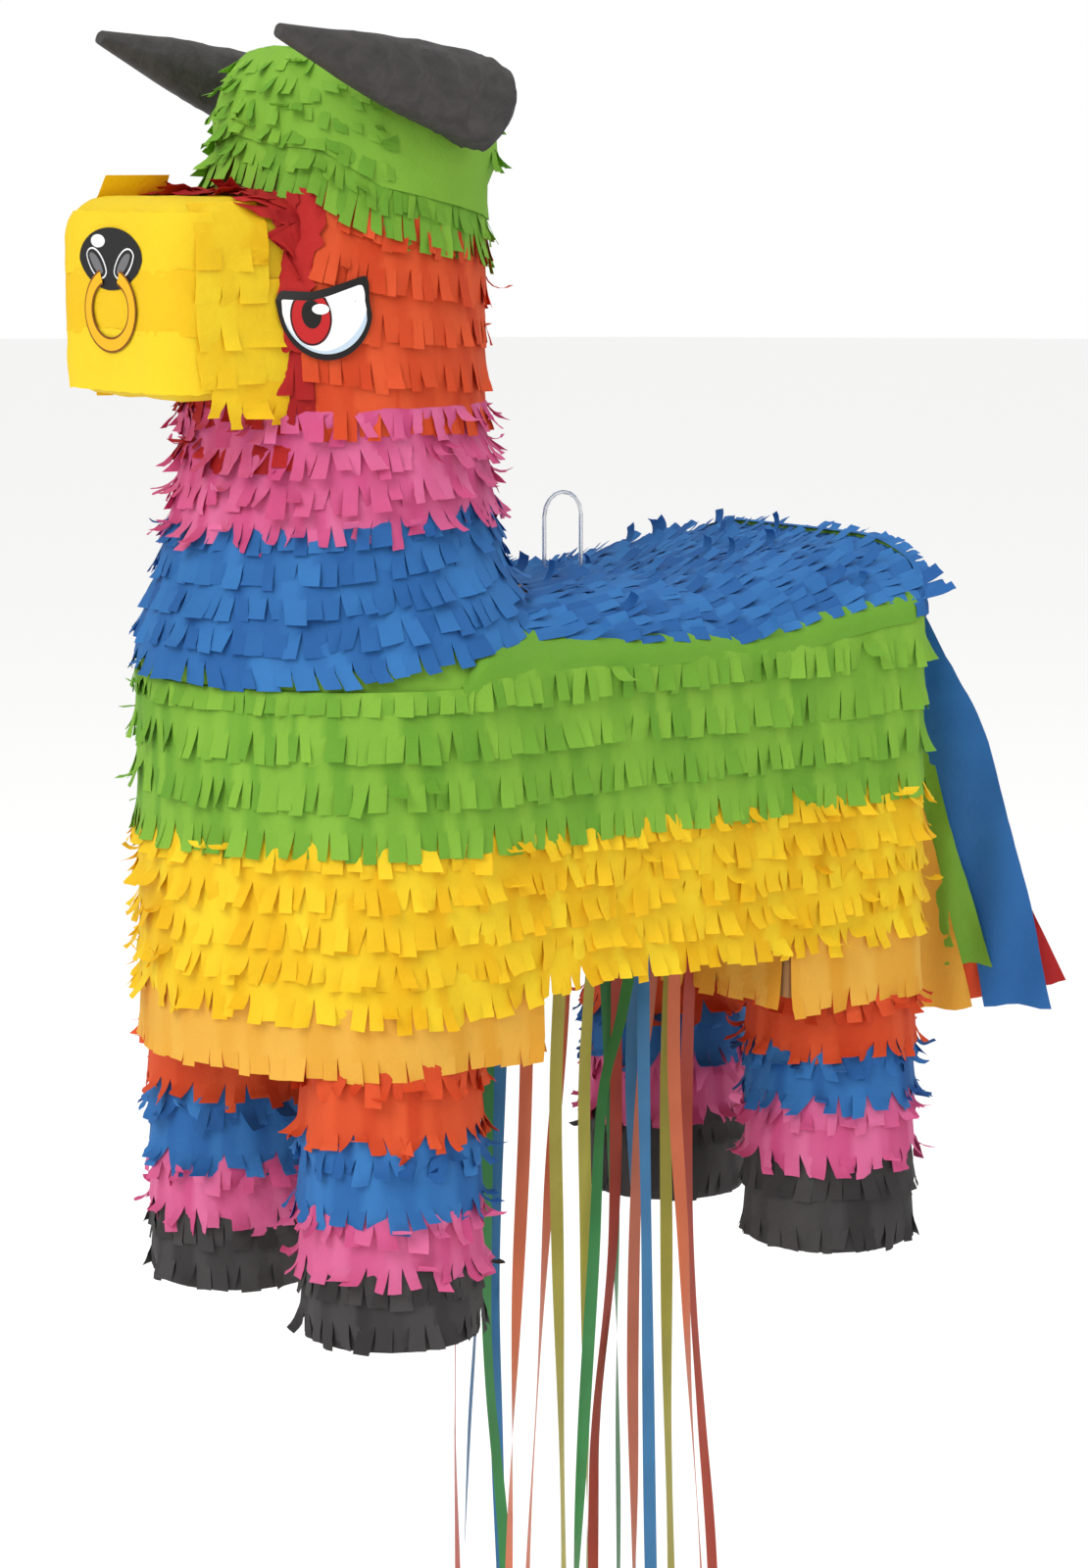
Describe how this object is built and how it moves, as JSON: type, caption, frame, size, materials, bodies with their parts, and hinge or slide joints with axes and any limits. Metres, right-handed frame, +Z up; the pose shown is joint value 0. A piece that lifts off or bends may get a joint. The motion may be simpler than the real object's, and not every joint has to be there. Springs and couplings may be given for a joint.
{
  "type": "pull-ribbon pinata",
  "caption": "Bull-shaped party pinata of card and fringed tissue, filled through a side flap and emptied by pulling the ribbon on its belly trap door.",
  "frame": {"origin": "top inside point of the hanging loop, where it bears on a hook", "axes": "+Z up, the bull faces -Y, its left side is +X"},
  "size_m": [0.173, 0.421, 0.7416],
  "materials": {
    "card": "plain brown corrugated card",
    "green_tissue": "fringed tissue paper",
    "yellow_tissue": "fringed tissue paper",
    "gold_tissue": "fringed tissue paper",
    "blue_tissue": "fringed tissue paper",
    "pink_tissue": "fringed tissue paper",
    "orange_tissue": "fringed tissue paper",
    "red_tissue": "fringed tissue paper",
    "black_tissue": "crumpled crepe paper",
    "printed_sticker": "printed paper with a slight gloss",
    "clear_line": "clear nylon line",
    "green_ribbon": "curling ribbon, satin gloss",
    "red_ribbon": "curling ribbon, satin gloss",
    "blue_ribbon": "curling ribbon, satin gloss",
    "orange_ribbon": "curling ribbon, satin gloss",
    "olive_ribbon": "curling ribbon, satin gloss",
    "salmon_ribbon": "curling ribbon, satin gloss"
  },
  "bodies": {
    "carcass": {"chest_shell": "card", "side_panel_left": "card", "side_panel_right": "card", "rump_panel": "card", "back_panel": "card", "belly_panel": "card", "neck_tube": "card", "crown_disc": "card", "muzzle_box": "card", "leg_tube_front_left": "card", "foot_disc_front_left": "black_tissue", "leg_tissue_front_left": "orange_tissue", "leg_tube_front_right": "card", "foot_disc_front_right": "black_tissue", "leg_tissue_front_right": "orange_tissue", "leg_tube_rear_left": "card", "foot_disc_rear_left": "black_tissue", "leg_tissue_rear_left": "orange_tissue", "leg_tube_rear_right": "card", "foot_disc_rear_right": "black_tissue", "leg_tissue_rear_right": "orange_tissue", "tissue_saddle": "blue_tissue", "tissue_collar_blue": "blue_tissue", "tissue_collar_pink": "pink_tissue", "tissue_head_orange": "orange_tissue", "tissue_cheek_red": "red_tissue", "tissue_cap_green": "green_tissue", "tissue_muzzle_yellow": "yellow_tissue", "tissue_flank_green": "green_tissue", "tissue_flank_yellow": "yellow_tissue", "skirt_front": "gold_tissue", "skirt_rear": "gold_tissue", "horn_left": "black_tissue", "horn_right": "black_tissue", "nose_ring_sticker": "printed_sticker", "eye_sticker_left": "printed_sticker", "eye_sticker_right": "printed_sticker", "hanging_loop": "clear_line"},
    "trap_door": {"trap_door": "card"},
    "pull_ribbon": {"pull_ribbon": "green_ribbon"},
    "filler_flap": {"filler_flap": "card", "filler_flap_tissue": "green_tissue"},
    "tail": {"tail_streamers": "blue_tissue"},
    "ribbon_orange_front": {"ribbon_orange_front": "orange_ribbon"},
    "ribbon_olive_front": {"ribbon_olive_front": "olive_ribbon"},
    "ribbon_olive_middle": {"ribbon_olive_middle": "olive_ribbon"},
    "ribbon_green_left": {"ribbon_green_left": "green_ribbon"},
    "ribbon_blue_left": {"ribbon_blue_left": "blue_ribbon"},
    "ribbon_orange_rear": {"ribbon_orange_rear": "orange_ribbon"},
    "ribbon_orange_right": {"ribbon_orange_right": "orange_ribbon"},
    "ribbon_red_front": {"ribbon_red_front": "red_ribbon"},
    "ribbon_blue_front": {"ribbon_blue_front": "blue_ribbon"},
    "ribbon_blue_right": {"ribbon_blue_right": "blue_ribbon"},
    "ribbon_green_behind": {"ribbon_green_behind": "green_ribbon"},
    "ribbon_red_behind": {"ribbon_red_behind": "red_ribbon"},
    "ribbon_blue_behind": {"ribbon_blue_behind": "blue_ribbon"},
    "ribbon_salmon_behind": {"ribbon_salmon_behind": "salmon_ribbon"},
    "ribbon_olive_behind": {"ribbon_olive_behind": "olive_ribbon"},
    "ribbon_red_left": {"ribbon_red_left": "red_ribbon"}
  },
  "joints": [
    {"name": "trap_door_hinge", "type": "hinge", "parent": "carcass", "child": "trap_door", "pos_m": [0, 0.038, -0.1652], "axis": [1, 0, 0], "range_deg": [0, 80]},
    {"name": "pull_ribbon_swing", "type": "hinge", "parent": "trap_door", "child": "pull_ribbon", "pos_m": [0, -0.033, -0.1681], "axis": [1, 0, 0], "range_deg": [-80, 0]},
    {"name": "filler_flap_hinge", "type": "hinge", "parent": "carcass", "child": "filler_flap", "pos_m": [-0.086, 0.008, -0.0672], "axis": [0, 1, 0], "range_deg": [0, 110]},
    {"name": "tail_swing", "type": "hinge", "parent": "carcass", "child": "tail", "pos_m": [0.038, 0.1263, -0.0392], "axis": [1, 0, 0], "range_deg": [-10, 50], "stiffness_Nm_per_rad": 0.05},
    {"name": "ribbon_orange_front_pull", "type": "slide", "parent": "carcass", "child": "ribbon_orange_front", "axis": [0, 0, -1], "range_m": [0, 0.022]},
    {"name": "ribbon_olive_front_pull", "type": "slide", "parent": "carcass", "child": "ribbon_olive_front", "axis": [0, 0, -1], "range_m": [0, 0.022]},
    {"name": "ribbon_olive_middle_pull", "type": "slide", "parent": "carcass", "child": "ribbon_olive_middle", "axis": [0, 0, -1], "range_m": [0, 0.022]},
    {"name": "ribbon_green_left_pull", "type": "slide", "parent": "carcass", "child": "ribbon_green_left", "axis": [0, 0, -1], "range_m": [0, 0.022]},
    {"name": "ribbon_blue_left_pull", "type": "slide", "parent": "carcass", "child": "ribbon_blue_left", "axis": [0, 0, -1], "range_m": [0, 0.022]},
    {"name": "ribbon_orange_rear_pull", "type": "slide", "parent": "carcass", "child": "ribbon_orange_rear", "axis": [0, 0, -1], "range_m": [0, 0.022]},
    {"name": "ribbon_orange_right_pull", "type": "slide", "parent": "carcass", "child": "ribbon_orange_right", "axis": [0, 0, -1], "range_m": [0, 0.022]},
    {"name": "ribbon_red_front_pull", "type": "slide", "parent": "carcass", "child": "ribbon_red_front", "axis": [0, 0, -1], "range_m": [0, 0.022]},
    {"name": "ribbon_blue_front_pull", "type": "slide", "parent": "carcass", "child": "ribbon_blue_front", "axis": [0, 0, -1], "range_m": [0, 0.022]},
    {"name": "ribbon_blue_right_pull", "type": "slide", "parent": "carcass", "child": "ribbon_blue_right", "axis": [0, 0, -1], "range_m": [0, 0.022]},
    {"name": "ribbon_green_behind_pull", "type": "slide", "parent": "carcass", "child": "ribbon_green_behind", "axis": [0, 0, -1], "range_m": [0, 0.022]},
    {"name": "ribbon_red_behind_pull", "type": "slide", "parent": "carcass", "child": "ribbon_red_behind", "axis": [0, 0, -1], "range_m": [0, 0.022]},
    {"name": "ribbon_blue_behind_pull", "type": "slide", "parent": "carcass", "child": "ribbon_blue_behind", "axis": [0, 0, -1], "range_m": [0, 0.022]},
    {"name": "ribbon_salmon_behind_pull", "type": "slide", "parent": "carcass", "child": "ribbon_salmon_behind", "axis": [0, 0, -1], "range_m": [0, 0.022]},
    {"name": "ribbon_olive_behind_pull", "type": "slide", "parent": "carcass", "child": "ribbon_olive_behind", "axis": [0, 0, -1], "range_m": [0, 0.022]},
    {"name": "ribbon_red_left_pull", "type": "slide", "parent": "carcass", "child": "ribbon_red_left", "axis": [0, 0, -1], "range_m": [0, 0.022]}
  ],
  "couplings": [
    {"joint": "pull_ribbon_swing", "follows": "trap_door_hinge", "ratio": -1}
  ]
}
